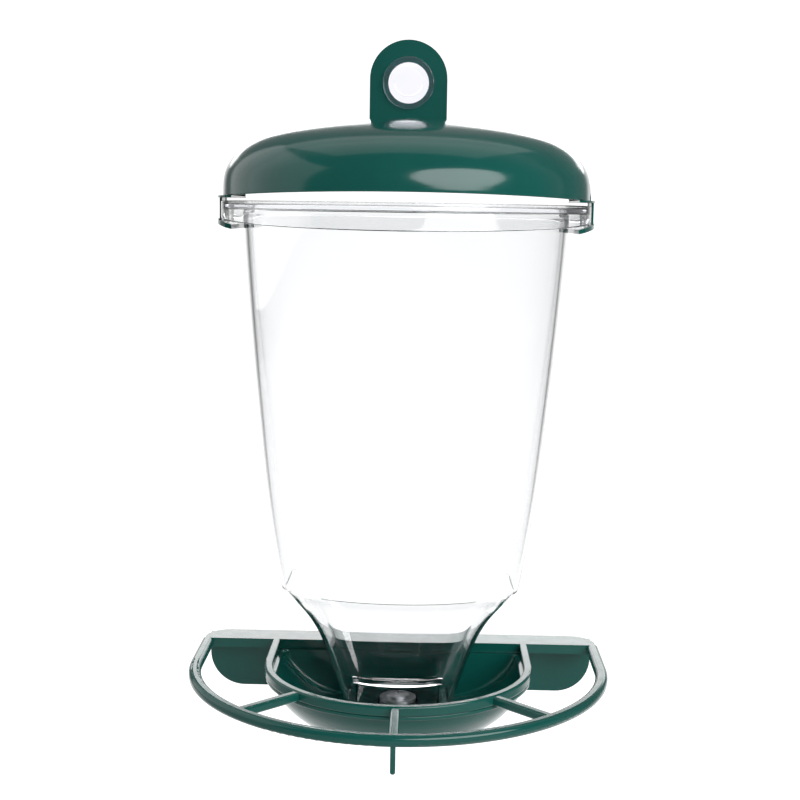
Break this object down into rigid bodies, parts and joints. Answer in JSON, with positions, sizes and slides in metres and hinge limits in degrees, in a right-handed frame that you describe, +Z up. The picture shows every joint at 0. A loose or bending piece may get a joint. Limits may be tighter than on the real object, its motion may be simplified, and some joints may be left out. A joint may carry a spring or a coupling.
{
  "type": "gravity bird seed feeder",
  "caption": "Window-hung gravity seed feeder: clear slide-out hopper under a domed lid, screwed to a seed bowl with a ring perch, hung from a suction cup.",
  "frame": {"origin": "centre of the suction cup's face on the window pane", "axes": "+Z up, +Y into the pane, so the feeder stands out along -Y, and +X to the right seen from the front"},
  "size_m": [0.1726, 0.1283, 0.2817],
  "materials": {
    "green_plastic": "glossy injection moulded plastic",
    "clear_plastic": "clear polished moulded plastic",
    "soft_clear": "clear soft vinyl",
    "zinc_steel": "bright zinc plated steel"
  },
  "bodies": {
    "cup": {"suction_cup": "soft_clear"},
    "lid": {"lid_dome": "green_plastic", "lid_back_plate": "green_plastic"},
    "hopper": {"hopper": "clear_plastic", "screw_washer": "zinc_steel"},
    "screw": {"tray_screw": "zinc_steel"},
    "tray": {"seed_bowl": "green_plastic", "perch_frame": "green_plastic", "tray_nut": "zinc_steel"}
  },
  "joints": [
    {"name": "lid_swivel", "type": "hinge", "parent": "cup", "child": "lid", "pos_m": [0, 0, 0], "axis": [0, 1, 0], "continuous": true},
    {"name": "hopper_slide", "type": "slide", "parent": "lid", "child": "hopper", "axis": [0, -1, 0], "range_m": [0, 0.1]},
    {"name": "tray_drop", "type": "slide", "parent": "hopper", "child": "tray", "axis": [0, 0, -1], "range_m": [0, 0.0041]},
    {"name": "screw_turn", "type": "hinge", "parent": "hopper", "child": "screw", "pos_m": [0, -0.042, -0.2538], "axis": [0, 0, 1], "range_deg": [0, 1846]}
  ],
  "couplings": [
    {"joint": "screw_turn", "follows": "tray_drop", "rad_per_m": 7854}
  ]
}
